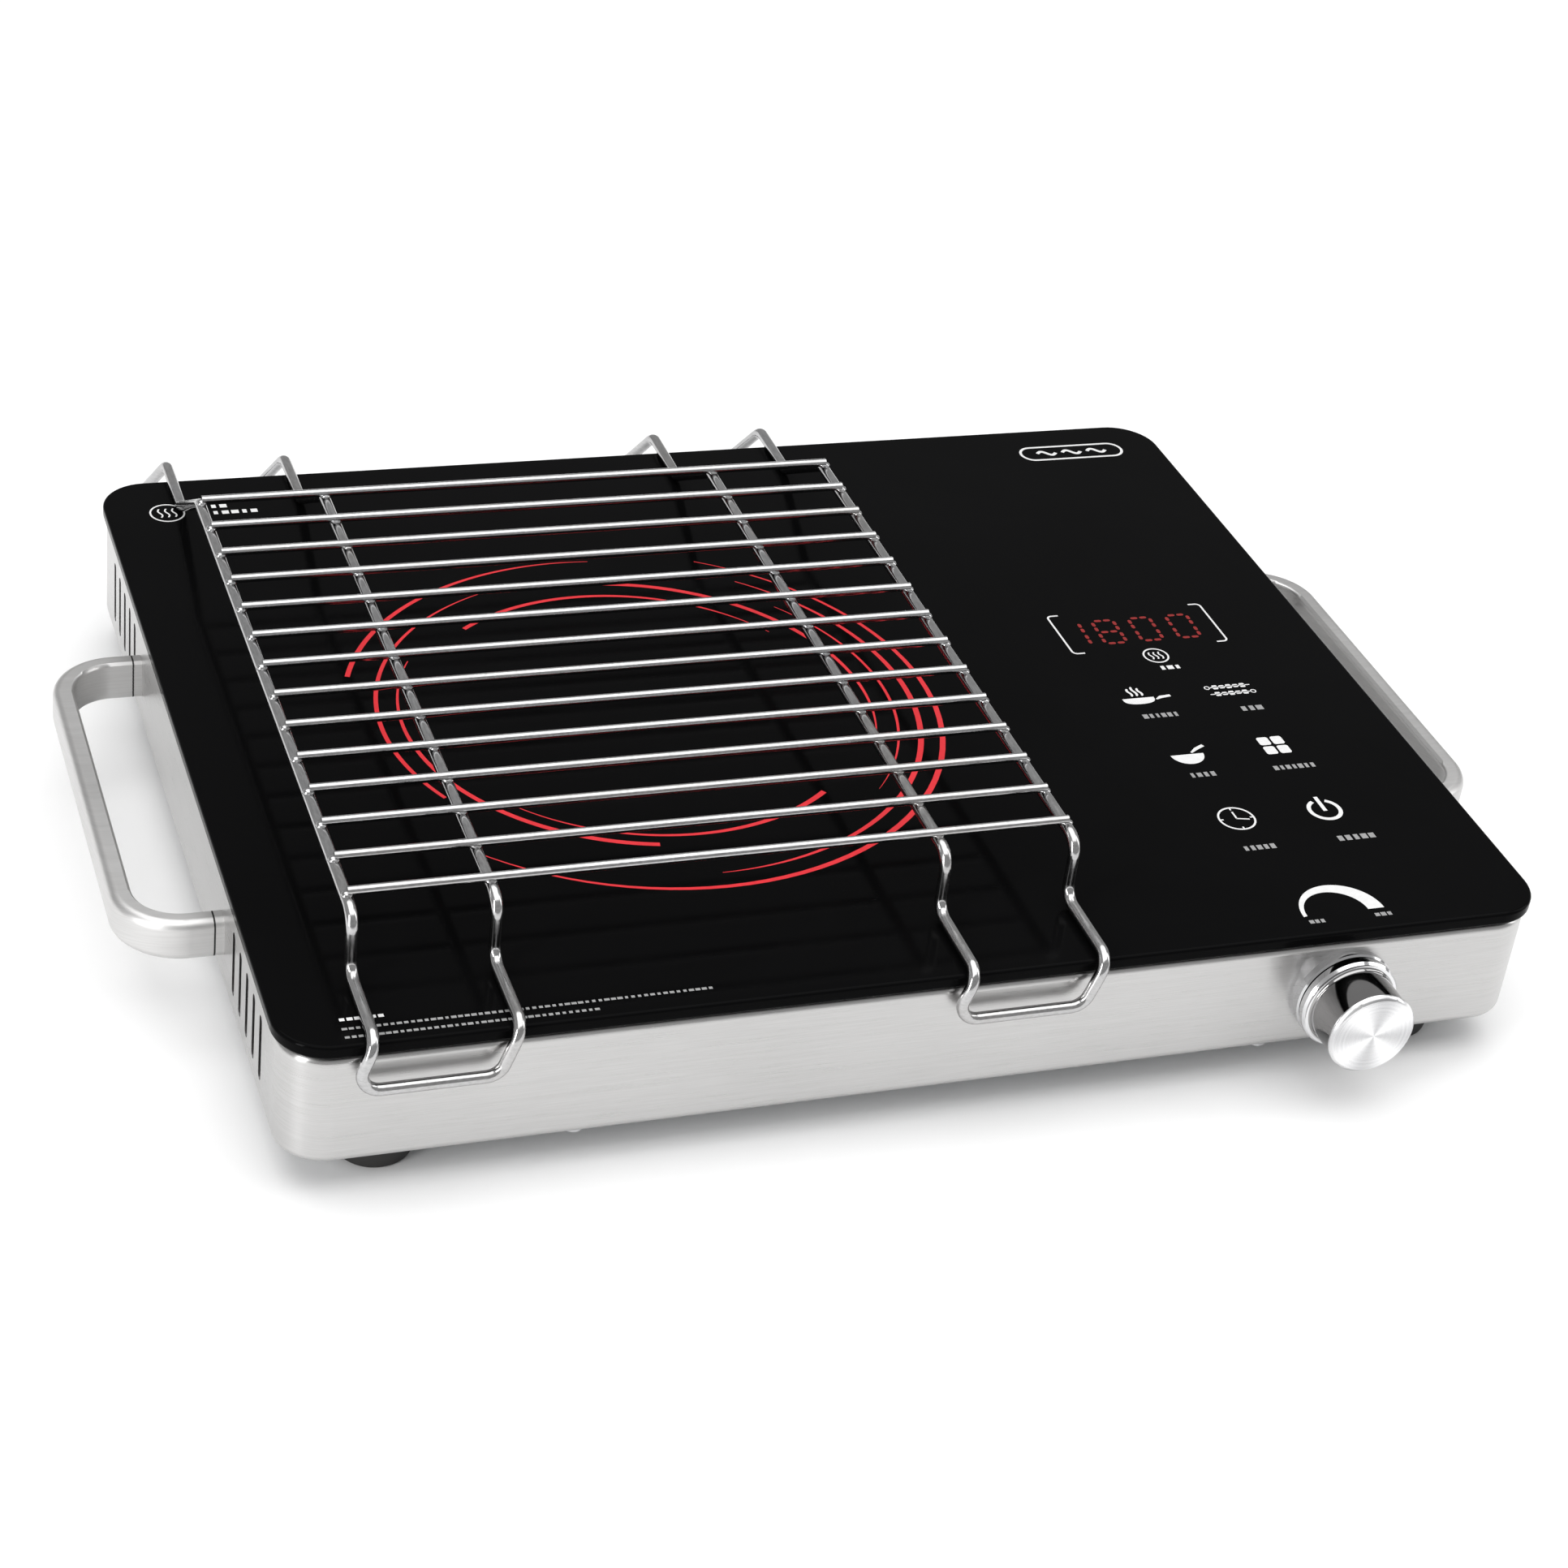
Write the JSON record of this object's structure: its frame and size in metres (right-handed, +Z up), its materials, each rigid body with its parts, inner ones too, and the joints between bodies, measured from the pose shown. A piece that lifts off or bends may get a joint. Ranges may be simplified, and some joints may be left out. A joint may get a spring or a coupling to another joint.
{
  "type": "hot plate burner",
  "caption": "Flat electric radiant burner with a black glass top, steel housing, side handles, a front dial and a lift-off wire roasting rack.",
  "frame": {"origin": "on the surface that the feet stand on, under the middle of the whole object's outline", "axes": "+Z up, +X to the right as seen from the dial's side, +Y from the dial's side to the cord's side"},
  "size_m": [0.4136, 0.3304, 0.0738],
  "materials": {
    "brushed_steel": "brushed along each wall",
    "plain_steel": "plain mill finish",
    "black_glass": "polished, opaque from above",
    "sealant": "matt bead",
    "satin_aluminium": "satin, ribbed on the inner face",
    "zinc_screws": "zinc plated",
    "foot_rubber": "matt",
    "dial_bezel": "polished",
    "dial_chrome": "polished",
    "spun_cap": "spun face with a bright cut rim",
    "control_body": "moulded",
    "brass": "plain",
    "shaft_steel": "turned",
    "circuit_board": "coated board",
    "black_plastic": "moulded",
    "insulation": "pressed fibre",
    "heating_alloy": "oxidised ribbon",
    "ceramic_block": "unglazed",
    "lead_sleeve": "braided glass sleeve",
    "fin_aluminium": "extruded",
    "copper_winding": "enamelled wire",
    "pale_plastic": "moulded",
    "rack_wire": "bright plated wire"
  },
  "bodies": {
    "root": {"housing": "brushed_steel", "base_plate": "plain_steel", "glass_top": "black_glass", "glass_seal": "sealant", "handle_left": "satin_aluminium", "handle_right": "satin_aluminium", "handle_screws": "zinc_screws", "base_screws": "zinc_screws", "foot_front_left": "foot_rubber", "foot_front_right": "foot_rubber", "foot_rear_left": "foot_rubber", "foot_rear_right": "foot_rubber", "foot_screws": "zinc_screws", "foot_nuts": "zinc_screws", "knob_bezel": "dial_bezel", "control_case": "control_body", "control_nut": "brass", "touch_board": "circuit_board", "display_module": "black_plastic", "touch_springs": "brass", "touch_board_posts": "brass", "board_screws": "zinc_screws", "heater_dish": "plain_steel", "insulation_pad": "insulation", "insulation_ring": "insulation", "heating_coil_inner": "heating_alloy", "heating_coil_outer": "heating_alloy", "limiter_rod": "shaft_steel", "limiter_switch": "ceramic_block", "heater_terminal": "ceramic_block", "heater_springs": "plain_steel", "heater_leads": "lead_sleeve", "fan_frame": "black_plastic", "fan_screws": "zinc_screws", "power_board": "circuit_board", "power_board_posts": "brass", "heat_sink": "fin_aluminium", "relay": "control_body", "capacitor": "black_plastic", "choke": "copper_winding", "transformer": "control_body", "mains_terminal": "pale_plastic", "cord_gland": "black_plastic", "gland_nut": "black_plastic", "earth_screw": "brass"},
    "knob": {"knob_body": "dial_chrome", "knob_cap": "spun_cap", "control_shaft": "shaft_steel"},
    "fan": {"fan_rotor": "black_plastic"},
    "rack": {"rack_loop_left": "rack_wire", "rack_loop_right": "rack_wire", "rack_rungs": "rack_wire"}
  },
  "joints": [
    {"name": "dial_turn", "type": "hinge", "parent": "root", "child": "knob", "pos_m": [0.1195, -0.1452, 0.0276], "axis": [0, 1, 0], "range_deg": [-140, 140]},
    {"name": "fan_spin", "type": "hinge", "parent": "root", "child": "fan", "pos_m": [0.118, -0.0714, 0.0185], "axis": [0, 0, 1], "continuous": true},
    {"name": "rack_lift", "type": "slide", "parent": "root", "child": "rack", "axis": [0, 0, 1], "range_m": [0, 0.1]}
  ]
}
